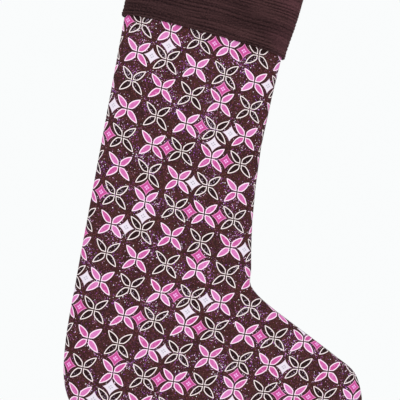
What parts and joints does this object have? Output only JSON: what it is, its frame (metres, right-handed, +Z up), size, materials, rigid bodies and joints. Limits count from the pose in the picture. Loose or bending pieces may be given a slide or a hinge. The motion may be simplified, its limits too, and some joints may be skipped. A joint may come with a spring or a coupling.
{
  "type": "hanging stocking",
  "caption": "Padded cotton stocking with a floral print, a turned-down corduroy cuff and a strap loop that it hangs and swings from.",
  "frame": {"origin": "centre of the hanging loop's eye, where the hook or nail goes", "axes": "+Z up, +X towards the toe, +Y along the hook towards the wall, so the front of the stocking faces -Y"},
  "size_m": [0.2778, 0.0412, 0.5587],
  "materials": {
    "printed_cotton": "matte",
    "wadding": "matte",
    "lining_cotton": "matte",
    "corduroy": "matte",
    "facing_cotton": "matte",
    "strap": "matte",
    "strap_thread": "satin",
    "brown_thread": "satin",
    "pale_thread": "satin"
  },
  "bodies": {
    "loop": {"hanging_loop": "strap", "loop_edge_thread": "strap_thread"},
    "stocking": {"outer_front": "printed_cotton", "outer_back": "printed_cotton", "wadding_front": "wadding", "wadding_back": "wadding", "lining_front": "lining_cotton", "lining_back": "lining_cotton", "cuff_front": "corduroy", "cuff_back": "corduroy", "cuff_facing_front": "facing_cotton", "cuff_facing_back": "facing_cotton", "loop_tail": "strap", "loop_box_stitch": "strap_thread", "outer_seam_thread": "brown_thread", "lining_seam_thread": "pale_thread", "cuff_heel_seam_thread": "brown_thread", "cuff_toe_seam_thread": "brown_thread", "mouth_seam_thread": "brown_thread"}
  },
  "joints": [
    {"name": "loop_swing", "type": "hinge", "parent": "loop", "child": "stocking", "pos_m": [0, 0, -0.045], "axis": [0, 1, 0], "range_deg": [-75, 50]}
  ]
}
